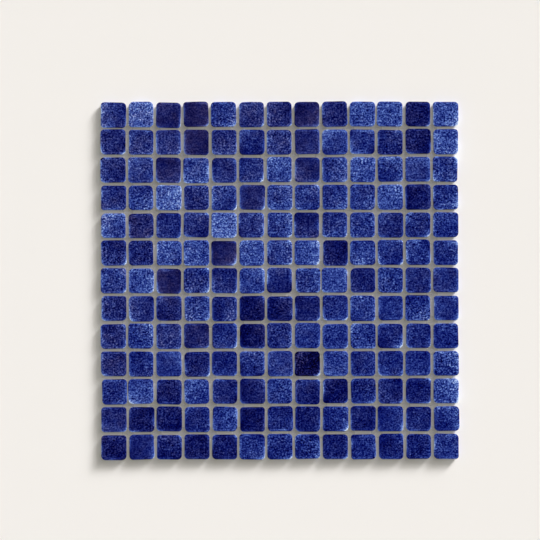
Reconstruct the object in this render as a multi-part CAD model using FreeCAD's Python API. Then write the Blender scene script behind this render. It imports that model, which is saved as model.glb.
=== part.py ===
import FreeCAD, Part

import math
import os
import random

# A sheet of glass mosaic: small square tiles in rows, with open joints between them.
# Each tile is a pressed piece with a flat face, a rounded arris, and sides that lean
# in towards its back. Nothing fills the joints. Soft plastic dots, one under each
# point where four tiles meet, lap their backs and hold the sheet together.
# All sizes are millimetres. X runs along the rows, Y runs up the columns and Z is up.
# The origin is below the middle of the sheet, on the plane that it lies on.

# The sheet
tile_rows = 13
tile_columns = 13
joint_width = 2.3

# The tile, whose side and corners are measured at its widest, under the arris. The
# turn is the angle in degrees from one flat of a corner to the next.
tile_side = 23.3
tile_thickness = 4.0
corner_radius = 3.6
arris_width = 0.4
arris_depth = 0.4
back_inset = 0.7
corner_turn = 45.0

# The dot of plastic on the backs, whose lap is measured along the tile's diagonal. The
# turn is the angle in degrees from one flat of its rim to the next.
dot_thickness = 0.7
dot_lap = 2.0
dot_rim_slope = 0.9
dot_rim_turn = 60.0

# The setting by hand: how far tiles stray from the grid and turn, as shares of the
# joint, first as a usual amount and then as the most that leaves a joint between them
stray_share = 0.09
most_stray_share = 0.32
turn_share = 0.056
most_turn_share = 0.12
setting_seed = 1313

# Tiles well out of line: row from the top and column from the left, then how far each
# sits to the right of its place and above it, as shares of the joint
tiles_out_of_line = {
    (11, 1): (0.31, -0.07),
    (11, 2): (-0.29, 0.11),
    (7, 8): (0.24, 0.01),
    (7, 9): (-0.27, 0.08),
    (9, 2): (-0.24, 0.09),
    (5, 6): (-0.23, 0.06),
    (6, 9): (0.20, -0.10),
    (1, 3): (-0.04, -0.24),
    (11, 8): (-0.05, -0.22),
    (11, 5): (0.19, -0.01),
}

# Sizes that follow from the ones above
pitch = tile_side + joint_width
face_level = dot_thickness + tile_thickness
arris_level = face_level - arris_depth
joint_to_back = joint_width / 2 + back_inset
back_corner_radius = corner_radius - back_inset
crossing_to_back = math.sqrt(2) * (joint_to_back + back_corner_radius) - back_corner_radius
dot_radius = crossing_to_back + dot_lap
corner_chords = math.ceil(90 / corner_turn)
dot_sides = math.ceil(360 / dot_rim_turn)


def rounded_square(inset, level):
    """Points round the tile at one level, with each corner's arc as a few chords."""
    centre = tile_side / 2 - corner_radius
    radius = corner_radius - inset
    points = []
    for corner in range(4):
        start = corner * math.pi / 2
        across = centre if corner in (0, 3) else -centre
        along = centre if corner in (0, 1) else -centre
        for chord_end in range(corner_chords + 1):
            angle = start + chord_end * math.pi / 2 / corner_chords
            x = across + radius * math.cos(angle)
            y = along + radius * math.sin(angle)
            points.append(FreeCAD.Vector(x, y, level))
    return points


def dot_outline(radius, level):
    """Points round the dot at one level, as a regular outline of a few sides."""
    points = []
    for side in range(dot_sides):
        angle = 2 * math.pi * side / dot_sides
        points.append(FreeCAD.Vector(radius * math.cos(angle), radius * math.sin(angle), level))
    return points


def flat_face(points):
    """A flat face inside a closed outline of straight edges."""
    return Part.Face(Part.makePolygon(points + points[:1]))


def loft_of_flats(outlines):
    """A closed solid through like outlines, lowest first, with a flat face per side."""
    faces = [flat_face(outlines[0]), flat_face(outlines[-1])]
    for lower, upper in zip(outlines, outlines[1:]):
        for first in range(len(lower)):
            second = (first + 1) % len(lower)
            faces.append(flat_face([lower[first], lower[second], upper[second], upper[first]]))
    solid = Part.Solid(Part.Shell(faces))
    if solid.Volume < 0:
        solid.reverse()
    return solid


def glass_tile():
    """One tile on the middle of the grid: back, leaning sides, arris and face."""
    back = rounded_square(back_inset, dot_thickness)
    shoulder = rounded_square(0, arris_level)
    face = rounded_square(arris_width, face_level)
    return loft_of_flats([back, shoulder, face])


def bond_dot():
    """One dot of plastic on the origin, wide on the glass and drawn in at the bottom."""
    floor_outline = dot_outline(dot_radius - dot_rim_slope, 0)
    glass_outline = dot_outline(dot_radius, dot_thickness)
    return loft_of_flats([floor_outline, glass_outline])


def held_within(value, most):
    """The value, kept between the given amount below nought and above it."""
    return max(-most, min(most, value))


def hand_setting():
    """Where each tile really sits: its stray along X and Y in mm and its turn in degrees."""
    chance = random.Random(setting_seed)
    to_degrees = math.degrees(joint_width / (tile_side / 2))
    setting = {}
    for row in range(1, tile_rows + 1):
        for column in range(1, tile_columns + 1):
            right = held_within(chance.gauss(0, stray_share), most_stray_share)
            up = held_within(chance.gauss(0, stray_share), most_stray_share)
            turn = held_within(chance.gauss(0, turn_share), most_turn_share)
            right, up = tiles_out_of_line.get((row, column), (right, up))
            setting[row, column] = (right * joint_width, up * joint_width, turn * to_degrees)
    return setting


def row_place(row):
    """Height up the sheet of a row's middle, counting rows from the top."""
    return ((tile_rows + 1) / 2 - row) * pitch


def column_place(column):
    """Distance along the sheet of a column's middle, counting columns from the left."""
    return (column - (tile_columns + 1) / 2) * pitch


def tile_row(tile, row, setting):
    """The tiles of one row, each a little off the grid and a little turned."""
    row_of_tiles = []
    for column in range(1, tile_columns + 1):
        right, up, turn = setting[row, column]
        placed = tile.copy()
        placed.rotate(FreeCAD.Vector(0, 0, 0), FreeCAD.Vector(0, 0, 1), turn)
        placed.translate(FreeCAD.Vector(column_place(column) + right, row_place(row) + up, 0))
        row_of_tiles.append(placed)
    return Part.makeCompound(row_of_tiles)


def dot_line(dot, row):
    """The dots below one row of tiles, each centred where four tiles meet."""
    line_of_dots = []
    for column in range(1, tile_columns):
        placed = dot.copy()
        across = column_place(column) + pitch / 2
        along = row_place(row) - pitch / 2
        placed.translate(FreeCAD.Vector(across, along, 0))
        line_of_dots.append(placed)
    return Part.makeCompound(line_of_dots)


def build():
    """Make every row of tiles and every line of dots and write each to its own file."""
    os.makedirs("parts", exist_ok=True)
    tile = glass_tile()
    dot = bond_dot()
    setting = hand_setting()
    for row in range(1, tile_rows + 1):
        tile_row(tile, row, setting).exportStep(f"parts/glass_tiles_row_{row:02d}.step")
    for row in range(1, tile_rows):
        dot_line(dot, row).exportStep(f"parts/bond_dots_line_{row:02d}.step")


build()
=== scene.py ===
"""The looks of a sheet of glass mosaic that lies face up on a pale floor.

Lengths are metres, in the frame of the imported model: X runs along the rows of tiles, Y runs up
the columns and Z is up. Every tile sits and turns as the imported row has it. This script gives
the tiles their rounded arrises, grooved backs and grained glass, and the dots their round shape.
"""

import logging
import math
from dataclasses import dataclass, field
from enum import Enum
from typing import NamedTuple

import bpy
import numpy as np
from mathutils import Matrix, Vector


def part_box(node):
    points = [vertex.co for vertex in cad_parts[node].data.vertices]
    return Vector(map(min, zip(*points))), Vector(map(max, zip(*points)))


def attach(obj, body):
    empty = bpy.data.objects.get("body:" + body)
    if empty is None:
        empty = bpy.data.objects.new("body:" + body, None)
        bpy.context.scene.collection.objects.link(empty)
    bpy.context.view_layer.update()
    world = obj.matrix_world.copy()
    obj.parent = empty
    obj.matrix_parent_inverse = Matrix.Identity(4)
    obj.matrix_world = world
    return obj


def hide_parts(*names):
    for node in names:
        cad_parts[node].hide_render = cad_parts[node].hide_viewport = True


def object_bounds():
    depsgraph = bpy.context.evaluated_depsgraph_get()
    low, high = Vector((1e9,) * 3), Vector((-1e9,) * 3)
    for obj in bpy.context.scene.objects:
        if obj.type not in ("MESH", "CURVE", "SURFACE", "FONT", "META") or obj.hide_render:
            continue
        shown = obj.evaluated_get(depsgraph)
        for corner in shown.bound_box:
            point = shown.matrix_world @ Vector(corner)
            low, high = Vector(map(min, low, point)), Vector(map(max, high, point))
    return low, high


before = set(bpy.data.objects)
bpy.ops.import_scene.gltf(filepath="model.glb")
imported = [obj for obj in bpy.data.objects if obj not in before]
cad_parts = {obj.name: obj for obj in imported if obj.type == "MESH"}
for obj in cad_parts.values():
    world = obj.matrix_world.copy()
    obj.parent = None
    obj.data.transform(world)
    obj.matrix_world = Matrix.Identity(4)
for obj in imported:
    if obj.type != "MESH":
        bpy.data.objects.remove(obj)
cad_low, cad_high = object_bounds()

log = logging.getLogger("mosaic_sheet")

Array = np.ndarray
Colour = tuple[float, float, float]


def linear(red: int, green: int, blue: int) -> Colour:
    """Turns a screen colour of 0 to 255 into the linear light that shaders use.

    It is the usual screen curve: a straight line near black, and a power above it.

    Args:
        red: The red level.
        green: The green level.
        blue: The blue level.

    Returns:
        The three linear levels, from 0 to 1.
    """
    levels = []
    for level in (red, green, blue):
        share = level / 255
        levels.append(share / 12.92 if share <= 0.04045 else ((share + 0.055) / 1.055) ** 2.4)
    return tuple(levels)


def opaque(colour: Colour) -> tuple[float, float, float, float]:
    """The colour with a full alpha, as a shader socket takes it."""
    return (*colour, 1.0)


class NodeGraph:
    """Adds and joins the nodes of one material or world."""

    def __init__(self, owner: bpy.types.Material | bpy.types.World) -> None:
        """Empties the owner's node tree, ready for its own nodes."""
        owner.use_nodes = True
        self.tree = owner.node_tree
        self.tree.nodes.clear()

    def add(self, kind: str, inputs: dict | None = None, **settings) -> bpy.types.Node:
        """Adds a node.

        Args:
            kind: Blender's name for the kind of node.
            inputs: What each input holds: another node's output, or a constant.
            **settings: The node's own options.

        Returns:
            The new node.
        """
        node = self.tree.nodes.new(kind)
        for name, value in settings.items():
            setattr(node, name, value)
        for name, source in (inputs or {}).items():
            if isinstance(source, bpy.types.NodeSocket):
                self.tree.links.new(source, node.inputs[name])
            else:
                node.inputs[name].default_value = source
        return node

    def calc(self, operation: str, *terms) -> bpy.types.NodeSocket:
        """Adds a Math node and returns its output; the terms are outputs or constants."""
        return self.add("ShaderNodeMath", dict(enumerate(terms)), operation=operation).outputs[0]

    def attribute(self, name: str) -> bpy.types.NodeSocket:
        """The value of a mesh attribute of that name."""
        return self.add("ShaderNodeAttribute", attribute_name=name).outputs["Fac"]


class Pour(NamedTuple):
    """What one tile's glass is made of: how foggy, how grainy and how plum it is."""

    fog: float
    grain: float
    plum: float


class Shade(Enum):
    """The kinds of glass that the sheet's tiles sort into."""

    FROSTED = Pour(fog=0.523, grain=0.88, plum=-0.37)
    PALE = Pour(fog=0.36, grain=0.96, plum=-0.32)
    DEEP = Pour(fog=0.03, grain=1.06, plum=0.34)
    INKY = Pour(fog=-0.015, grain=1.03, plum=0.46)
    DUSKY = Pour(fog=0.203, grain=0.64, plum=0.3)
    PLUM = Pour(fog=0.18, grain=0.53, plum=0.51)
    BLACK = Pour(fog=-0.09, grain=1.7, plum=0.83)


# The tiles that stand out, each as its row from the top and its column from the left
STANDOUTS: dict[Shade, tuple[tuple[int, int], ...]] = {
    Shade.FROSTED: ((4, 3), (5, 5), (1, 2)),
    Shade.PALE: (
        (6, 6), (3, 7), (6, 4), (6, 8), (6, 3), (4, 11), (1, 10), (3, 10),
        (2, 13), (7, 2), (11, 13), (1, 13), (3, 4), (5, 1), (1, 11),
    ),
    Shade.DEEP: (
        (12, 2), (12, 8), (11, 12), (13, 11), (13, 4), (8, 7), (13, 1),
        (1, 12), (4, 12), (2, 12), (12, 3), (12, 10), (6, 9), (13, 5),
    ),
    Shade.INKY: ((12, 6), (11, 9), (9, 6), (8, 6)),
    Shade.DUSKY: ((2, 8), (3, 3), (4, 6), (3, 8)),
    Shade.PLUM: ((1, 4), (2, 4), (1, 8), (7, 3), (6, 5)),
    Shade.BLACK: ((10, 8),),
}

# The tiles poured from two gobs of glass, with how much more fog the right half has
TWO_TONED: dict[tuple[int, int], float] = {(10, 8): -0.18, (8, 5): 0.2}


class Stop(NamedTuple):
    """A stop on the run of the glass's colours: how pale it counts, and its colour."""

    paleness: float
    colour: Colour


@dataclass(frozen=True)
class FogGlass:
    """The finish of the tiles: glossy opaque cobalt glass with fine pale grains in it."""

    black: Stop = Stop(-0.45, linear(7, 5, 30))
    ink: Stop = Stop(-0.25, linear(0, 0, 72))
    deep: Stop = Stop(-0.06, linear(0, 8, 93))
    cobalt: Stop = Stop(0.2, linear(28, 42, 121))
    blue: Stop = Stop(0.48, linear(54, 75, 156))
    sky: Stop = Stop(0.7, linear(81, 107, 183))
    pale: Stop = Stop(1.0, linear(121, 150, 220))
    # The white end is reached by the palest grains and by the painted corner glints
    white: Stop = Stop(1.5, linear(200, 216, 244))
    plum_stain: Colour = (1.07, 0.5, 0.42)
    usual_stain: float = 0.255
    tint_stain: float = 1.1
    # How much less plum the painted edge light and corner glints carry
    painted_highlight_stain: float = -0.2
    grain_scale: float = 620.0
    grain_detail: float = 1.0
    grain_gain: float = 2.7
    clump_scale: float = 190.0
    clump_detail: float = 2.0
    clump_gain: float = 1.15
    fleck_scale: float = 1500.0
    fleck_detail: float = 0.0
    fleck_gain: float = 1.3
    tint_scale: float = 130.0
    tint_detail: float = 2.0
    noise_roughness: float = 0.55
    base_contrast: float = 0.55
    # How much paler the painted edge light and corner glints make the glass
    painted_highlight_lift: float = 0.13
    smooth_roughness: float = 0.08
    grainy_roughness: float = 0.17
    relief: float = 0.00003
    refraction: float = 1.52

    def material(self) -> bpy.types.Material:
        """Builds the material.

        The paleness of a point is its fog, plus three sizes of grain times a contrast that
        grows with the fog and the attribute grain, plus a lift by the attribute rim: painted
        light and shade at the tile's edges and painted glints at its corners. Its stain is
        the attribute plum, plus a slow tint over the tile, less some under the painted light.

        Returns:
            A glossy material whose colour runs from black to white with the paleness and
            towards plum with the stain.
        """
        glass = bpy.data.materials.new("cobalt_fog_glass")
        graph = NodeGraph(glass)
        place = graph.add("ShaderNodeTexCoord").outputs["Object"]

        def grains(scale: float, detail: float) -> bpy.types.NodeSocket:
            """Noise of one grain size, with a mean of a half."""
            inputs = {
                "Vector": place,
                "Scale": scale,
                "Detail": detail,
                "Roughness": self.noise_roughness,
            }
            return graph.add("ShaderNodeTexNoise", inputs).outputs["Fac"]

        grain = grains(self.grain_scale, self.grain_detail)
        clump = grains(self.clump_scale, self.clump_detail)
        fleck = grains(self.fleck_scale, self.fleck_detail)
        mixed = graph.calc("MULTIPLY_ADD", grain, self.grain_gain, -self.grain_gain / 2)
        for noise, gain in ((clump, self.clump_gain), (fleck, self.fleck_gain)):
            about_nought = graph.calc("MULTIPLY_ADD", noise, gain, -gain / 2)
            mixed = graph.calc("ADD", mixed, about_nought)
        fog = graph.attribute("fog")
        # The attribute rim is painted light and shade at the tiles' edges and painted glints at
        # their corners
        rim = graph.attribute("rim")
        contrast = graph.calc("ADD", fog, self.base_contrast)
        contrast = graph.calc("MULTIPLY", contrast, graph.attribute("grain"))
        paleness = graph.calc("MULTIPLY_ADD", mixed, contrast, fog)
        paleness = graph.calc("MULTIPLY_ADD", rim, self.painted_highlight_lift, paleness)
        colour = self.colour_run(graph, paleness)
        tint = grains(self.tint_scale, self.tint_detail)
        middle = self.usual_stain - self.tint_stain / 2
        stain = graph.calc("MULTIPLY_ADD", tint, self.tint_stain, middle)
        stain = graph.calc("MULTIPLY_ADD", rim, self.painted_highlight_stain, stain)
        stain = graph.calc("ADD", stain, graph.attribute("plum"))
        stained = graph.add(
            "ShaderNodeMix",
            {"Factor": stain, "A": colour, "B": opaque(self.plum_stain)},
            data_type="RGBA",
            blend_type="MULTIPLY",
        )
        roughness = graph.add(
            "ShaderNodeMapRange",
            {"Value": grain, "To Min": self.smooth_roughness, "To Max": self.grainy_roughness},
        )
        bump = graph.add("ShaderNodeBump", {"Height": mixed, "Distance": self.relief})
        surface = graph.add(
            "ShaderNodeBsdfPrincipled",
            {
                "Base Color": stained.outputs["Result"],
                "Roughness": roughness.outputs["Result"],
                "Normal": bump.outputs["Normal"],
                "IOR": self.refraction,
            },
        )
        graph.add("ShaderNodeOutputMaterial", {"Surface": surface.outputs["BSDF"]})
        return glass

    def colour_run(self, graph: NodeGraph, paleness: bpy.types.NodeSocket) -> bpy.types.NodeSocket:
        """Adds the run of colours from black to white.

        Args:
            graph: The graph of the material.
            paleness: The paleness of a point.

        Returns:
            The colour of that paleness.
        """
        start = self.black.paleness
        span = self.white.paleness - start
        along = graph.calc("MULTIPLY_ADD", paleness, 1 / span, -start / span)
        ramp = graph.add("ShaderNodeValToRGB", {"Fac": along})
        first, last = ramp.color_ramp.elements
        first.color = opaque(self.black.colour)
        last.color = opaque(self.white.colour)
        for stop in (self.ink, self.deep, self.cobalt, self.blue, self.sky, self.pale):
            between = ramp.color_ramp.elements.new((stop.paleness - start) / span)
            between.color = opaque(stop.colour)
        return ramp.outputs["Color"]


@dataclass(frozen=True)
class MilkyPlastic:
    """The finish of the dots: soft clear plastic, a little milky."""

    milk: Colour = linear(174, 169, 152)
    clear: Colour = linear(156, 150, 133)
    clearness: float = 0.88
    cloud_scale: float = 400.0
    cloud_detail: float = 3.0
    roughness: float = 0.35
    relief: float = 0.00008

    def material(self) -> bpy.types.Material:
        """Builds the material: one constant alpha, cloudy colour and a soft skin."""
        plastic = bpy.data.materials.new("milky_bond_plastic")
        graph = NodeGraph(plastic)
        place = graph.add("ShaderNodeTexCoord").outputs["Object"]
        inputs = {"Vector": place, "Scale": self.cloud_scale, "Detail": self.cloud_detail}
        cloud = graph.add("ShaderNodeTexNoise", inputs).outputs["Fac"]
        colour = graph.add(
            "ShaderNodeMix",
            {"Factor": cloud, "A": opaque(self.milk), "B": opaque(self.clear)},
            data_type="RGBA",
        )
        bump = graph.add("ShaderNodeBump", {"Height": cloud, "Distance": self.relief})
        surface = graph.add(
            "ShaderNodeBsdfPrincipled",
            {
                "Base Color": colour.outputs["Result"],
                "Roughness": self.roughness,
                "Normal": bump.outputs["Normal"],
                "Alpha": 1 - self.clearness,
            },
        )
        graph.add("ShaderNodeOutputMaterial", {"Surface": surface.outputs["BSDF"]})
        return plastic


@dataclass(frozen=True)
class PaleFloor:
    """The finish of the floor: matte white, which also glows a little where it is seen."""

    colour: Colour = linear(243, 239, 237)
    glow: Colour = linear(243, 238, 219)
    own_light: float = 0.215

    def material(self) -> bpy.types.Material:
        """Builds the material: matte paint, mixed with a share of glow that no lamp lights."""
        paint = bpy.data.materials.new("pale_floor")
        graph = NodeGraph(paint)
        matte = graph.add("ShaderNodeBsdfDiffuse", {"Color": opaque(self.colour)})
        glow = graph.add("ShaderNodeEmission", {"Color": opaque(self.glow), "Strength": 1.0})
        path = graph.add("ShaderNodeLightPath")
        seen = path.outputs["Is Camera Ray"]
        for ray in ("Is Glossy Ray", "Is Transmission Ray"):
            seen = graph.calc("MAXIMUM", seen, path.outputs[ray])
        share = graph.calc("MULTIPLY", seen, self.own_light)
        both = graph.add(
            "ShaderNodeMixShader",
            {0: share, 1: matte.outputs["BSDF"], 2: glow.outputs["Emission"]},
        )
        graph.add("ShaderNodeOutputMaterial", {"Surface": both.outputs["Shader"]})
        return paint


@dataclass(frozen=True)
class SquareGrid:
    """A grid of quads over a square patch, with its rim walked anticlockwise from below left.

    Each side of the patch starts and ends half way round a rounded corner, and has
    corner_steps quads on each of these half corners.
    """

    across: int = 8
    along: int = 12
    corner_steps: int = 2

    @property
    def size(self) -> int:
        """The number of points in the grid."""
        return (self.across + 1) * (self.along + 1)

    @property
    def steps(self) -> tuple[int, int, int, int]:
        """The quads along each side: below, right, above and left."""
        return (self.across, self.along, self.across, self.along)

    def quads(self) -> Array:
        """The corners of each quad, anticlockwise from above, as rows of four indices."""
        column, row = np.meshgrid(np.arange(self.across), np.arange(self.along))
        first = (row * (self.across + 1) + column).ravel()
        wide = self.across + 1
        return np.stack([first, first + 1, first + wide + 1, first + wide], axis=1)

    def rim(self) -> Array:
        """The indices of the points on the rim, in the order of the walk round it."""
        index = np.arange(self.size).reshape(self.along + 1, self.across + 1)
        return np.concatenate([index[0, :-1], index[:-1, -1], index[-1, :0:-1], index[:0:-1, 0]])

    def walk(self) -> tuple[Array, Array, Array]:
        """Works out the rim of a rounded square of any size.

        A rim point is the corner of a core square, moved outwards by the radius. On a half
        corner the core stays at its corner while the way out turns by 45 degrees, and on the
        straight between them the way out stays square while the core runs along its side.

        Returns:
            The core's share of its half side and the way out, as two arrays of points, and
            each point's share in the four corners, from below left anticlockwise.
        """
        cores, ways, shares = [], [], []
        for side, steps in enumerate(self.steps):
            step = np.arange(steps)
            straight = steps - 2 * self.corner_steps
            run = np.clip((step - self.corner_steps) / straight, 0, 1) * 2 - 1
            before = np.clip(step / self.corner_steps - 1, -1, 0)
            after = np.clip((step - steps) / self.corner_steps + 1, 0, 1)
            lean = (before + after) * math.pi / 4
            turn = side * math.pi / 2
            spin = np.array([[math.cos(turn), math.sin(turn)], [-math.sin(turn), math.cos(turn)]])
            cores.append(np.stack([run, -np.ones(steps)], axis=1) @ spin)
            ways.append(np.stack([np.sin(lean), -np.cos(lean)], axis=1) @ spin)
            share = np.zeros((steps, 4))
            share[:, side] = (1 - run) / 2
            share[:, (side + 1) % 4] = (1 + run) / 2
            shares.append(share)
        return np.concatenate(cores), np.concatenate(ways), np.concatenate(shares)

    def fill(self, rim: Array) -> Array:
        """Fills the patch inside each rim.

        It is a Coons patch: the straight blend of the rim below and above, plus the straight
        blend of the rim left and right, less the blend of the four corners.

        Args:
            rim: Points round each patch, as (patches, rim points, 2).

        Returns:
            The points of each patch, as (patches, grid points, 2), rows first.
        """
        wide, tall = self.across, self.along
        closed = np.concatenate([rim, rim[:, :1]], axis=1)
        below = closed[:, None, : wide + 1]
        right = closed[:, wide : wide + tall + 1, None]
        above = closed[:, None, wide + tall : 2 * wide + tall + 1][:, :, ::-1]
        left = closed[:, 2 * wide + tall :, None][:, ::-1]
        u = np.linspace(0, 1, wide + 1)[None, None, :, None]
        v = np.linspace(0, 1, tall + 1)[None, :, None, None]
        corners = (1 - v) * ((1 - u) * below[:, :, :1] + u * below[:, :, -1:])
        corners = corners + v * ((1 - u) * above[:, :, :1] + u * above[:, :, -1:])
        patch = (1 - v) * below + v * above + (1 - u) * left + u * right - corners
        return patch.reshape(len(rim), self.size, 2)


def ring_strips(rings: Array) -> Array:
    """The quads between each closed ring of points and the next, which lies below it.

    Args:
        rings: The indices of the points, as (rings, points), each ring anticlockwise.

    Returns:
        The four corners of each quad, so that it faces outwards.
    """
    after = np.roll(rings, -1, axis=1)
    return np.stack([rings[:-1], rings[1:], after[1:], after[:-1]], axis=-1).reshape(-1, 4)


def repeated(quads: Array, size: int, count: int) -> Array:
    """The faces of several like shapes whose points follow each other.

    Args:
        quads: The faces of the first shape.
        size: The number of points in one shape.
        count: The number of shapes.

    Returns:
        The faces of all of them.
    """
    return (quads[None] + size * np.arange(count)[:, None, None]).reshape(-1, 4)


def held_normal(
    chance: np.random.Generator, spread: float, shape: tuple[int, ...], most: float = 1.5
) -> Array:
    """Random amounts about nought, none of them far from it.

    Args:
        chance: The source of random numbers.
        spread: Their usual size.
        shape: The shape of the array.
        most: How many times their usual size the largest may be.

    Returns:
        The amounts.
    """
    return np.clip(chance.normal(0, spread, shape), -most * spread, most * spread)


def wave_sum(
    chance: np.random.Generator, waves: tuple[int, ...], spread: float, fall: float, angles: Array
) -> Array:
    """Waves round each of several outlines, added up, each of random height and phase.

    A wave at an angle is its height times the cosine of its number times the angle plus its
    phase. Its usual height is the spread over a power of its number.

    Args:
        chance: The source of random numbers.
        waves: How often each wave rises in one turn.
        spread: The usual height of a wave that rises once.
        fall: The power of its number by which a wave is lower.
        angles: The angles of the outlines' points, as (outlines, points).

    Returns:
        The sum at each point, as (outlines, points).
    """
    number = np.array(waves)[None, :, None]
    shape = (len(angles), len(waves), 1)
    heights = chance.normal(0, spread, shape) / number**fall
    phases = chance.uniform(0, 2 * math.pi, shape)
    return (heights * np.cos(number * angles[:, None] + phases)).sum(axis=1)


def make_piece(
    name: str, points: Array, quads: Array, values: dict[str, Array]
) -> bpy.types.Object:
    """Makes one smooth object from arrays.

    Args:
        name: The piece's name.
        points: Its points, as (points, 3).
        quads: The four corners of each face.
        values: Numbers to keep on the points, by attribute name.

    Returns:
        The new object, at the origin and unturned.
    """
    mesh = bpy.data.meshes.new(name)
    mesh.from_pydata(points.astype(float).tolist(), [], quads.tolist())
    mesh.shade_smooth()
    for key, numbers in values.items():
        layer = mesh.attributes.new(key, "FLOAT", "POINT")
        layer.data.foreach_set("value", numbers.astype(np.float32).ravel())
    mesh.update()
    piece = bpy.data.objects.new(name, mesh)
    bpy.context.scene.collection.objects.link(piece)
    return piece


@dataclass
class MosaicTiles:
    """The glass tiles, one piece for each row, shaped and grained tile by tile."""

    rows: int = 13
    columns: int = 13
    pitch: float = 0.0256
    side: float = 0.0233
    corner_radius: float = 0.0036
    arris: float = 0.0004
    rim_band: float = 0.0009
    back_inset: float = 0.0007
    back_edge: float = 0.00015
    groove_depth: float = 0.00035
    wander: float = 0.00005
    outline_waves: tuple[int, ...] = (2, 3, 4, 5)
    outline_fall: float = 0.5
    radius_spread: float = 0.0006
    side_spread: float = 0.0003
    taper_spread: float = 0.005
    face_lean: float = 0.004
    arris_steps: int = 4
    usual_fog: float = 0.187
    fog_spread: float = 0.057
    fog_range: tuple[float, float] = (0.05, 0.36)
    fog_fall: tuple[float, float] = (0.041, 0.022)
    plum_fall: tuple[float, float] = (0.18, 0.19)
    plum_loss: tuple[float, float] = (1.9, 0.6)
    plum_spread: float = 0.14
    plum_range: tuple[float, float] = (-1.6, 1.6)
    grain_spread: float = 0.12
    cloud_spread: float = 0.075
    # Painted light on the open outer sides of the first and the last column
    painted_open_side_light: tuple[float, float] = (0.1, 0.13)
    seam_softness: float = 0.08
    # The rim attribute: painted light and shade on each tile's face, band and edge, painted glints
    # at its corners, and an even amount over its back
    face_painted_highlight: tuple[float, ...] = (0.9, 0.4, 0.08, 0.0)
    band_painted_light_shade: tuple[float, ...] = (0.13, -0.95, -0.32, 0.88)
    edge_painted_light_shade: tuple[float, ...] = (3.75, -4.0, -4.05, 1.38)
    back_rim: float = 0.9
    corner_painted_glint: tuple[float, float] = (6.5, 12.5)
    glint_tightness: int = 8
    painted_highlight_spread: float = 0.5
    painted_highlight_waves: tuple[int, ...] = (1, 2, 3, 4)
    painted_highlight_fall: float = 0.0
    same_point_digits: int = 7
    seed: int = 4107
    shade_seed: int = 102942
    plum_seed: int = 186862
    grid: SquareGrid = field(default_factory=SquareGrid)
    finish: FogGlass = field(default_factory=FogGlass)

    def build(self) -> list[bpy.types.Object]:
        """Builds every row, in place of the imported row, and dresses it.

        Returns:
            The rows, from the top of the sheet down.
        """
        chance = np.random.default_rng(self.seed)
        glass = self.finish.material()
        shades = self.sheet_shades()
        pieces = []
        for row in range(1, self.rows + 1):
            node = f"glass_tiles_row_{row:02d}"
            points, values = self.row_surface(node, row, shades[:, row - 1], chance)
            piece = make_piece(f"fog_glass_row_{row:02d}", points, self.row_quads(), values)
            piece.data.materials.append(glass)
            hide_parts(node)
            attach(piece, "root")
            faces = len(piece.data.polygons)
            log.info("%s: %d tiles, %d faces", piece.name, self.columns, faces)
            pieces.append(piece)
        return pieces

    def sheet_shades(self) -> Array:
        """Sorts the tiles of the sheet by how foggy, grainy and plum their glass is.

        Fog and plum are highest at the top left, and fall both down the sheet and to the right.
        Each tile strays from that by a random amount, and loses some plum where it has more fog
        and grain than usual. The standouts have fog and grain of their own, and a plum of their
        own from which it falls in the same way.

        Returns:
            The fog, the grain and the plum, each as (rows, columns).
        """
        chance = np.random.default_rng(self.shade_seed)
        fog_draw, grain_draw = chance.normal(0, 1, (2, self.rows, self.columns))
        plum_draw = np.random.default_rng(self.plum_seed).normal(0, 1, fog_draw.shape)
        down = np.linspace(-1, 1, self.rows)[:, None]
        right = np.linspace(-1, 1, self.columns)[None]
        fog_down, fog_right = self.fog_fall
        fog = self.usual_fog - fog_down * down - fog_right * right + self.fog_spread * fog_draw
        fog = np.clip(fog, *self.fog_range)
        grain = 1 + self.grain_spread * grain_draw
        for_fog, for_grain = self.plum_loss
        plum = self.plum_spread * np.clip(plum_draw, *self.plum_range)
        plum -= for_fog * (fog - self.usual_fog) + for_grain * (grain - 1)
        for shade, tiles in STANDOUTS.items():
            row, column = np.array(tiles).T - 1
            fog[row, column], grain[row, column], plum[row, column] = shade.value
        plum_down, plum_right = self.plum_fall
        return np.stack([fog, grain, plum - plum_down * down - plum_right * right])

    def places(self, node: str) -> tuple[Array, Array]:
        """Finds where the tiles of a packed row sit and how far each is turned.

        Every corner of a tile lies in that tile's own cell of the grid, so rounding its X to
        the pitch gives its tile. A tile's middle is the mean of its corners. Its turn is a
        quarter of the angle of minus the sum of its corners' fourth powers, taken as complex
        numbers from the middle: these all point the same way, and backwards when it is square.

        Args:
            node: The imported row.

        Returns:
            The middles, as (tiles, 2), and the turns in radians.
        """
        corners = np.array([corner.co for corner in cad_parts[node].data.vertices])
        corners = np.unique(np.round(corners, self.same_point_digits), axis=0)
        cell = np.round(corners[:, 0] / self.pitch).astype(int)
        flat = corners[:, 0] + 1j * corners[:, 1]
        middles, turns = [], []
        for tile in np.unique(cell):
            own = flat[cell == tile]
            middle = own.mean()
            middles.append((middle.real, middle.imag))
            turns.append(np.angle(-((own - middle) ** 4).sum()) / 4)
        return np.array(middles), np.array(turns)

    def profile(self, back: float, face: float) -> tuple[Array, Array]:
        """The tile's section from its face to its back.

        From the flat face it crosses a narrow band to the arris, which is a quarter circle.
        Then come a straight side that leans in and a small chamfer at the back's edge.

        Args:
            back: The level of the back.
            face: The level of the face.

        Returns:
            How far each ring lies inside the tile's widest outline, and its level.
        """
        angle = np.linspace(0, math.pi / 2, self.arris_steps + 1)
        insets = [[self.arris + self.rim_band], self.arris * (1 - np.sin(angle))]
        levels = [[face], face - self.arris * (1 - np.cos(angle))]
        insets.append([self.back_inset - self.back_edge / 2, self.back_inset + self.back_edge])
        levels.append([back + self.back_edge, back])
        return np.concatenate(insets), np.concatenate(levels)

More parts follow.
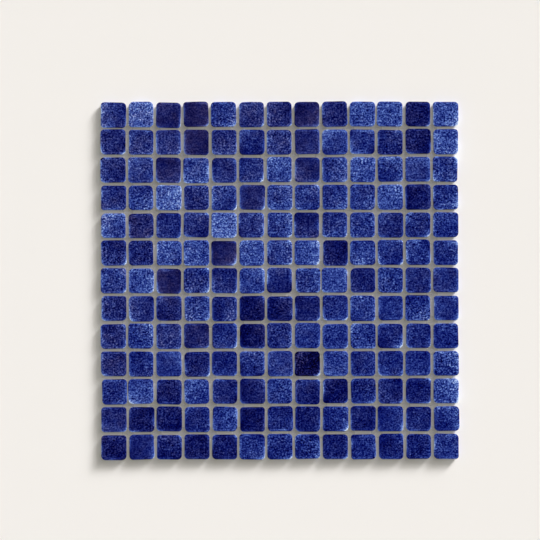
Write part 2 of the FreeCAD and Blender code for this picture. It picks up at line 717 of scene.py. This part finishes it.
    def tile_rings(self, count: int, insets: Array, chance: np.random.Generator) -> Array:
        """Carries the profile round the outline of each tile of a row.

        Point = core times (half side less radius) plus way out times (radius less inset plus
        the outline's wander). Every side and corner radius is a little off its size, and a
        taper widens the tile with its other coordinate.

        Args:
            count: The number of tiles.
            insets: How far each ring lies inside the widest outline.
            chance: The source of random numbers.

        Returns:
            The rings from each tile's middle, as (tiles, rings, rim points, 2).
        """
        core, way, share = self.grid.walk()
        corners = held_normal(chance, self.radius_spread, (count, 1, 4, 1)) + self.corner_radius
        radius = share @ corners
        half = (held_normal(chance, self.side_spread, (count, 1, 1, 2)) + self.side) / 2
        wander = self.outline_wander(count, len(core), chance)
        out = radius - insets[None, :, None, None] + wander[:, None, :, None]
        rings = core * (half - radius) + way * out
        taper = held_normal(chance, self.taper_spread, (count, 1, 1, 2))
        return rings * (1 + taper * rings[..., ::-1] / half)

    def row_surface(
        self, node: str, row: int, shades: Array, chance: np.random.Generator
    ) -> tuple[Array, dict[str, Array]]:
        """Works out the surface of every tile of a row.

        The face and the back are patches inside the first and the last ring, and the skirt is
        the rings between them. A point's height is its level plus its distance along a slight
        lean, which grows from nothing at the back to its whole at the face. Each tile has its
        packed turn and a random number of quarter turns, then moves to its packed middle.

        Args:
            node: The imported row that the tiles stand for.
            row: The row's number from the top.
            shades: The fog, the grain and the plum of its tiles.
            chance: The source of random numbers.

        Returns:
            The points, as (points, 3), and the attributes of their glass.
        """
        low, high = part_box(node)
        middles, turns = self.places(node)
        count = len(middles)
        insets, levels = self.profile(low.z, high.z)
        rings = self.tile_rings(count, insets, chance)
        face = self.grid.fill(rings[:, 0])
        skirt = rings[:, 1:-1].reshape(count, -1, 2)
        back = self.grid.fill(rings[:, -1])
        flat = np.concatenate([face, skirt, back], axis=1)
        face_level = np.full(self.grid.size, high.z)
        skirt_level = np.repeat(levels[1:-1], rings.shape[2])
        level = np.concatenate([face_level, skirt_level, self.back_levels(low.z)])
        rise = (level - low.z) / (high.z - low.z)
        lean = chance.uniform(-1, 1, (count, 2)) * self.face_lean
        height = level + rise * (flat @ lean[:, :, None])[:, :, 0]
        quarter = chance.integers(0, 4, count) * math.pi / 2
        turned = (flat[..., 0] + 1j * flat[..., 1]) * np.exp(1j * (turns + quarter))[:, None]
        values = self.glass_values(row, shades, turned, chance)
        x = turned.real + middles[:, :1]
        y = turned.imag + middles[:, 1:]
        return np.stack([x, y, height], axis=-1).reshape(-1, 3), values

    def outline_wander(self, count: int, steps: int, chance: np.random.Generator) -> Array:
        """How far each tile's outline wanders in and out, as a sum of waves round it.

        Args:
            count: The number of tiles.
            steps: The number of points round an outline.
            chance: The source of random numbers.

        Returns:
            The wander at each point, as (tiles, points).
        """
        around = np.linspace(0, 2 * math.pi, steps, endpoint=False)
        angles = np.broadcast_to(around, (count, steps))
        return wave_sum(chance, self.outline_waves, self.wander, self.outline_fall, angles)

    def back_levels(self, back: float) -> Array:
        """The level of each point of the back, raised along every second inner grid line.

        Args:
            back: The level of the lands between the grooves.

        Returns:
            The levels of the back's grid points.
        """
        line = np.arange(self.grid.along + 1)
        first, last = self.grid.corner_steps, self.grid.along - self.grid.corner_steps
        grooved = (line % 2 == 1) & (line > first) & (line < last)
        column = np.arange(self.grid.across + 1)
        inner = (column > 0) & (column < self.grid.across)
        return back + self.groove_depth * (grooved[:, None] & inner[None]).ravel()

    def glass_values(
        self, row: int, shades: Array, turned: Array, chance: np.random.Generator
    ) -> dict[str, Array]:
        """Works out the attributes of the glass.

        The fog of a point is its tile's fog plus a cloud: a slope across the tile and a
        saddle over it, both of random strength, a step between the halves of a two-toned tile,
        and painted light on the open sides of the first and the last column.

        The rim is painted light and shade at the tile's edges and painted glints at its corners:
        a strength times the sum of the face's, the band's, the edge's and the corners' parts.
        The strength is one plus a sum of waves round the tile. The parts on the band and on
        the edge are four amounts each: one all round, one that grows to the right, one that
        grows upwards, and one for the left and right sides alone. The corners' painted glint
        grows with a high power of both distances from the middle, most of all at the lower
        right, and has the strength once more, so that only some corners shine.

        Args:
            row: The row's number from the top.
            shades: The fog, the grain and the plum of the row's tiles.
            turned: The points of each tile from its middle, as complex numbers, (tiles, points).
            chance: The source of random numbers.

        Returns:
            The attributes fog, grain, plum and rim, the last painted light, shade and glints,
            one number for each point of the row.
        """
        count, size = turned.shape
        fog, grain, plum = shades
        across, along = turned.real / (self.side / 2), turned.imag / (self.side / 2)
        slope = chance.normal(0, self.cloud_spread, (2, count, 1))
        saddle = chance.normal(0, self.cloud_spread, (count, 1))
        cloud = slope[0] * across + slope[1] * along + saddle * across * along
        # Painted light on the open outer sides of the end columns
        cloud[0] += self.painted_open_side_light[0] * np.maximum(-across[0], 0)
        cloud[-1] += self.painted_open_side_light[1] * np.maximum(across[-1], 0)
        for (line, column), step in TWO_TONED.items():
            if line == row:
                cloud[column - 1] += step / 2 * np.tanh(across[column - 1] / self.seam_softness)
        # Painted light and shade round the edges and painted glints at the corners
        angle = np.angle(turned)
        waves = wave_sum(chance, self.painted_highlight_waves, self.painted_highlight_spread, self.painted_highlight_fall, angle)
        strength = np.maximum(1 + waves, 0)
        around = np.stack([np.ones_like(angle), np.cos(angle), np.sin(angle), np.cos(2 * angle)])
        face_light_share, band_light_share, edge_light_share = self.painted_highlight_fades()
        band = np.tensordot(self.band_painted_light_shade, around, axes=1)
        edge = np.tensordot(self.edge_painted_light_shade, around, axes=1)
        any_corner_glint, lower_right_glint = self.corner_painted_glint
        corner = any_corner_glint + lower_right_glint * (across - along) / 2
        corner *= np.abs(across * along) ** self.glint_tightness
        rim = strength * (face_light_share + band_light_share * band + edge_light_share * edge + strength * corner)
        return {
            "fog": fog[:, None] + cloud,
            "grain": np.repeat(grain, size),
            "plum": np.repeat(plum, size),
            "rim": rim,
        }

    def painted_highlight_fades(self) -> tuple[Array, Array, Array]:
        """How much of the face's rim, the band's and the edge's each point of a tile has.

        All three are painted light and shade. Over the face the rim follows how many grid lines
        the point lies from it. The band's part is whole where the arris starts and gives way to
        the edge's part over the arris, which then fades down the side. The back has one amount
        all over.

        Returns:
            The three parts, one number each for each point of a tile.
        """
        column = np.arange(self.grid.across + 1)
        line = np.arange(self.grid.along + 1)
        from_side = np.minimum(column, self.grid.across - column)
        from_end = np.minimum(line, self.grid.along - line)
        steps = np.minimum(from_side[None], from_end[:, None]).ravel()
        face = np.array(self.face_painted_highlight)[np.minimum(steps, len(self.face_painted_highlight) - 1)]
        arris = np.linspace(0, 1, self.arris_steps + 1)
        around = len(self.grid.rim())
        band = np.repeat([*(1 - arris), 0], around)
        edge = np.repeat([*arris, 0], around)
        rest = np.full(band.size, self.face_painted_highlight[0])
        blank = np.zeros(face.size)
        back = np.full(face.size, self.back_rim)
        return (
            np.concatenate([face, rest, back]),
            np.concatenate([blank, band, blank]),
            np.concatenate([blank, edge, blank]),
        )

    def row_quads(self) -> Array:
        """The faces of a row of tiles: face patch, strips down the skirt, back patch."""
        rings = self.arris_steps + 2
        around = len(self.grid.rim())
        skirt = self.grid.size + np.arange(rings * around).reshape(rings, around)
        back_start = self.grid.size + rings * around
        ladder = np.concatenate([self.grid.rim()[None], skirt, self.grid.rim()[None] + back_start])
        back = self.grid.quads()[:, ::-1] + back_start
        tile = np.concatenate([self.grid.quads(), ring_strips(ladder), back])
        return repeated(tile, back_start + self.grid.size, self.columns)


@dataclass
class BondDots:
    """The plastic dots on the backs, one piece for each line of them."""

    lines: int = 12
    dots_in_line: int = 12
    pitch: float = 0.0256
    joint_at_back: float = 0.0037
    radius_share: float = 0.94
    radius_wander: float = 0.04
    rim_slope: float = 0.0009
    open_rim_slope: float = 0.0003
    open_rim_drop: float = 0.0004
    bulge_share: float = 0.25
    squeeze: float = 0.0002
    seed: int = 88
    finish: MilkyPlastic = field(default_factory=MilkyPlastic)

    def build(self) -> list[bpy.types.Object]:
        """Builds every line of dots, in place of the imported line, and dresses it.

        Returns:
            The lines of dots, from the top of the sheet down.
        """
        chance = np.random.default_rng(self.seed)
        plastic = self.finish.material()
        pieces = []
        for line in range(1, self.lines + 1):
            node = f"bond_dots_line_{line:02d}"
            points = self.line_surface(node, chance)
            piece = make_piece(f"milky_dots_line_{line:02d}", points, self.line_quads(), {})
            piece.data.materials.append(plastic)
            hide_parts(node)
            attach(piece, "root")
            faces = len(piece.data.polygons)
            log.info("%s: %d dots, %d faces", piece.name, self.dots_in_line, faces)
            pieces.append(piece)
        return pieces

    @property
    def grid(self) -> SquareGrid:
        """The grid of a dot's top and bottom: lines at the middle and at the tiles' edges."""
        return SquareGrid(across=4, along=4, corner_steps=1)

    def rim_ways(self, radius: float) -> Array:
        """The way out to each rim point, whose angles put grid lines under the tiles' edges.

        Args:
            radius: The dot's radius on the glass.

        Returns:
            Unit vectors, anticlockwise from below left.
        """
        edge = math.asin(self.joint_at_back / 2 / radius)
        quarter = np.array([-math.pi / 4, -edge, 0.0, edge])
        angles = np.concatenate([quarter + (side - 1) * math.pi / 2 for side in range(4)])
        return np.stack([np.cos(angles), np.sin(angles)], axis=1)

    def line_surface(self, node: str, chance: np.random.Generator) -> Array:
        """Works out the surface of every dot of a line.

        A dot is a low round cake: a flat bottom, a bulging rim, and a top that is flat under
        the tiles. Along the joints that cross above it the top is squeezed up in the middle
        and runs out low at the rim, falling with the square of the distance. The rim draws in
        by its slope to the bottom, and by only a share of that half way down.

        Args:
            node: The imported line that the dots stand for.
            chance: The source of random numbers.

        Returns:
            The points, as (points, 3).
        """
        low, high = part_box(node)
        full = (high.x - low.x - (self.dots_in_line - 1) * self.pitch) / 2 * self.radius_share
        count = self.dots_in_line
        radius = full * (1 - self.radius_wander * chance.uniform(0, 1, (count, 1, 1)))
        way = self.rim_ways(full)[None]
        in_joint = (np.arange(way.shape[1]) % self.grid.across > 0)[:, None]
        slope = np.where(in_joint, self.open_rim_slope, self.rim_slope)
        top = self.grid.fill(way * radius)
        bottom = self.grid.fill(way * (radius - slope))
        bulge = way * (radius - slope * self.bulge_share)
        flat = np.concatenate([top, bulge, bottom], axis=1)
        half = self.grid.across // 2
        line = np.abs(np.arange(self.grid.across + 1) - half)
        across, along = np.minimum.outer(line, line), np.maximum.outer(line, line)
        squeezed = self.squeeze - (self.squeeze + self.open_rim_drop) * (along / half) ** 2
        top_level = (high.z + np.where(across < half, squeezed, 0)).ravel()
        rim_level = (low.z + top_level[self.grid.rim()]) / 2
        levels = np.concatenate([top_level, rim_level, np.full(self.grid.size, low.z)])
        along_line = (np.arange(count) - (count - 1) / 2)[:, None] * self.pitch
        x = flat[..., 0] + (low.x + high.x) / 2 + along_line
        y = flat[..., 1] + (low.y + high.y) / 2
        height = np.broadcast_to(levels, x.shape)
        return np.stack([x, y, height], axis=-1).reshape(-1, 3)

    def line_quads(self) -> Array:
        """The faces of a line of dots: top patch, two strips down the rim, bottom patch."""
        around = len(self.grid.rim())
        bulge = self.grid.size + np.arange(around)
        bottom_start = self.grid.size + around
        ladder = np.stack([self.grid.rim(), bulge, self.grid.rim() + bottom_start])
        bottom = self.grid.quads()[:, ::-1] + bottom_start
        dot = np.concatenate([self.grid.quads(), ring_strips(ladder), bottom])
        return repeated(dot, bottom_start + self.grid.size, self.dots_in_line)


@dataclass(frozen=True)
class SoftLamp:
    """A square lamp that gives glossy faces a soft sheen, aimed at the sheet's middle."""

    name: str
    azimuth: float
    elevation: float
    distance: float
    width: float
    watts: float

    def place(self) -> bpy.types.Object:
        """Puts the lamp up.

        Returns:
            The lamp, unseen by the camera, whose light shows in reflections alone.
        """
        data = bpy.data.lights.new(self.name, "AREA")
        data.shape = "SQUARE"
        data.size = self.width
        data.energy = self.watts
        lamp = aimed_lamp(self.name, data, self.azimuth, self.elevation)
        lamp.visible_diffuse = False
        lamp.location = lamp.rotation_euler.to_matrix().col[2] * self.distance
        return lamp


@dataclass(frozen=True)
class WindowLight:
    """Even light from a round soft patch of sky, its breadth in degrees, as through a window."""

    name: str
    azimuth: float
    elevation: float
    breadth: float
    strength: float

    def place(self) -> bpy.types.Object:
        """Puts the light up.

        Returns:
            The light, unseen by the camera and in reflections.
        """
        data = bpy.data.lights.new(self.name, "SUN")
        data.angle = math.radians(self.breadth)
        data.energy = self.strength
        light = aimed_lamp(self.name, data, self.azimuth, self.elevation)
        light.visible_glossy = False
        return light


def aimed_lamp(
    name: str, data: bpy.types.Light, azimuth: float, elevation: float
) -> bpy.types.Object:
    """Makes a lamp at the origin that shines from a direction.

    Args:
        name: The lamp's name.
        data: Its light.
        azimuth: The direction it shines from, in degrees from X towards Y.
        elevation: How high it stands, in degrees from the floor.

    Returns:
        The lamp, unseen by the camera.
    """
    lamp = bpy.data.objects.new(name, data)
    bpy.context.scene.collection.objects.link(lamp)
    lamp.rotation_euler = (math.radians(90 - elevation), 0, math.radians(azimuth + 90))
    lamp.visible_camera = False
    return lamp


@dataclass
class Studio:
    """The floor, the lamps, the dim surroundings and the camera."""

    photo_pixels: int = 540
    pixels_per_metre: float = 1082.0
    sheet_middle_pixel: tuple[float, float] = (279.65, 280.63)
    camera_height: float = 2.2
    camera_roll: float = -0.14
    sensor_width: float = 36.0
    floor_reach: float = 12.0
    horizon_light: float = 0.16
    zenith_light: float = 0.005
    zenith_rise: float = 0.8
    backdrop: Colour = linear(243, 239, 233)
    floor: PaleFloor = field(default_factory=PaleFloor)
    lamps: tuple[SoftLamp | WindowLight, ...] = (
        WindowLight("low_window_light", azimuth=49, elevation=16, breadth=14, strength=4.35),
        WindowLight("high_window_light", azimuth=49, elevation=21, breadth=28, strength=3.1),
        WindowLight("sky_light", azimuth=47, elevation=45, breadth=60, strength=0.95),
        WindowLight("room_light", azimuth=227, elevation=15, breadth=20, strength=0.2),
        SoftLamp("sheen_lamp", azimuth=-50, elevation=48, distance=2.0, width=0.9, watts=3),
    )

    def build(self) -> None:
        """Sets up everything round the sheet."""
        self.lay_floor()
        for lamp in self.lamps:
            lamp.place()
        self.surround()
        self.aim_camera()

    def lay_floor(self) -> None:
        """Lays the floor under the dots, as a square sheet of one face."""
        reach = self.floor_reach
        corners = np.array([[-1, -1, 0], [1, -1, 0], [1, 1, 0], [-1, 1, 0]]) * reach
        floor = make_piece("studio_floor", corners, np.array([[0, 1, 2, 3]]), {})
        floor.data.materials.append(self.floor.material())

    def surround(self) -> None:
        """Gives the room its light: brighter at the horizon than overhead, pale to the camera."""
        world = bpy.data.worlds.new("studio_room")
        bpy.context.scene.world = world
        graph = NodeGraph(world)
        way = graph.add("ShaderNodeTexCoord").outputs["Generated"]
        rise = graph.add("ShaderNodeSeparateXYZ", {"Vector": way}).outputs["Z"]
        dimming = {
            "Value": rise,
            "From Max": self.zenith_rise,
            "To Min": self.horizon_light,
            "To Max": self.zenith_light,
        }
        light = graph.add("ShaderNodeMapRange", dimming).outputs["Result"]
        room = graph.add("ShaderNodeBackground", {"Color": opaque((1, 1, 1)), "Strength": light})
        pale = graph.add("ShaderNodeBackground", {"Color": opaque(self.backdrop), "Strength": 1.0})
        path = graph.add("ShaderNodeLightPath")
        both = graph.add(
            "ShaderNodeMixShader",
            {0: path.outputs["Is Camera Ray"], 1: room.outputs[0], 2: pale.outputs[0]},
        )
        graph.add("ShaderNodeOutputWorld", {"Surface": both.outputs["Shader"]})

    def aim_camera(self) -> None:
        """Hangs the camera over the sheet, looking straight down, framed as in the photo."""
        seen_width = self.photo_pixels / self.pixels_per_metre
        data = bpy.data.cameras.new("overhead_camera")
        data.sensor_width = self.sensor_width
        above_faces = self.camera_height - cad_high.z
        data.lens = self.sensor_width * above_faces / seen_width
        camera = bpy.data.objects.new("overhead_camera", data)
        bpy.context.scene.collection.objects.link(camera)
        left = (self.photo_pixels / 2 - self.sheet_middle_pixel[0]) / self.pixels_per_metre
        up = (self.sheet_middle_pixel[1] - self.photo_pixels / 2) / self.pixels_per_metre
        camera.location = (left, up, self.camera_height)
        camera.rotation_euler.z = math.radians(self.camera_roll)
        bpy.context.scene.camera = camera


def main() -> None:
    """Builds the studio, the tiles and the dots, and reports each piece."""
    logging.basicConfig(level=logging.INFO, format="%(name)s: %(message)s")
    bpy.context.scene.view_settings.view_transform = "Standard"
    Studio().build()
    tiles = MosaicTiles().build()
    dots = BondDots().build()
    log.info("%d rows of tiles and %d lines of dots", len(tiles), len(dots))


if __name__ == "__main__":
    main()
